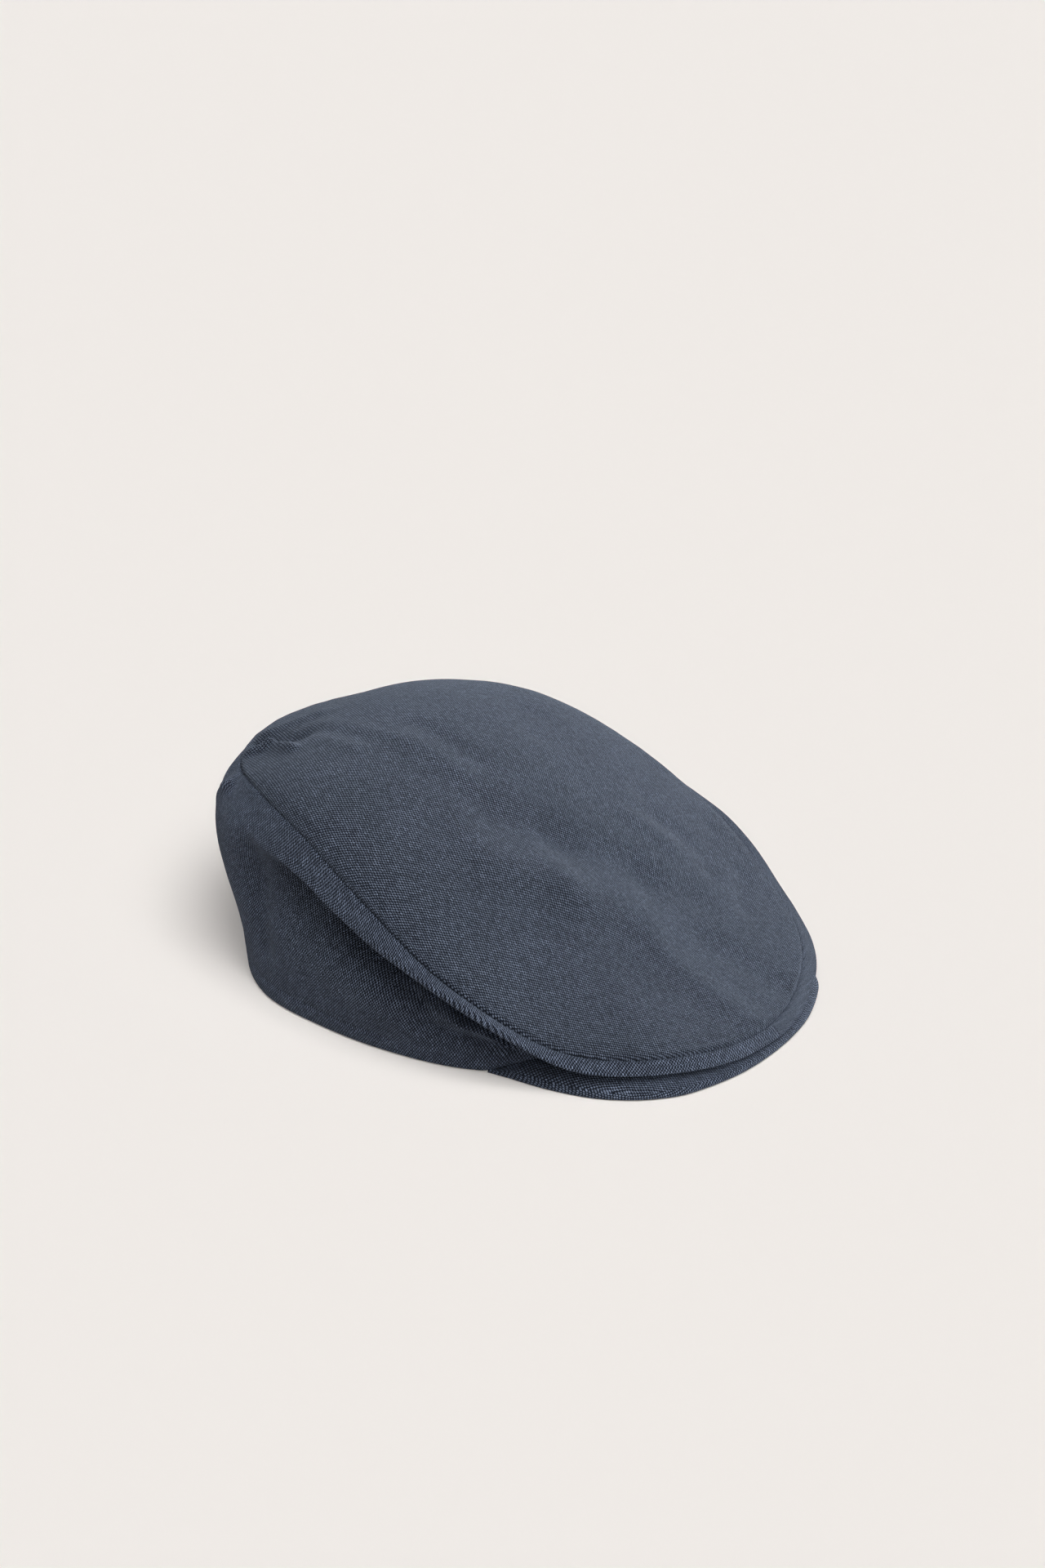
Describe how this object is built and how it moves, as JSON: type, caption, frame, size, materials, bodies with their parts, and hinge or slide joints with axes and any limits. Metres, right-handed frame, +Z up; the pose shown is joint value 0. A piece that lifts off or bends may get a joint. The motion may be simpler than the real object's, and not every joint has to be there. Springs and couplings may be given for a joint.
{
  "type": "flat cap",
  "caption": "Soft woven flat cap: egg-shaped crown panel and side panels that overhang a short stiff peak, open below for the head, standing on its hem.",
  "frame": {"origin": "on the floor under the middle of the cap's outer box; the centre of the head opening lies 5.6 mm behind it", "axes": "+Z up; the peak points to -Y and the back of the cap to +Y; the wearer's right is -X"},
  "size_m": [0.197, 0.2459, 0.0999],
  "materials": {
    "cloth_top": "coarse navy cotton and linen weave, matt",
    "cloth_side": "coarse navy cotton and linen weave, matt",
    "cloth_peak": "coarse navy cotton and linen weave over a stiff core, matt"
  },
  "bodies": {
    "root": {"top_panel": "cloth_top", "side_panel_right": "cloth_side", "side_panel_left": "cloth_side", "peak": "cloth_peak"}
  },
  "joints": []
}
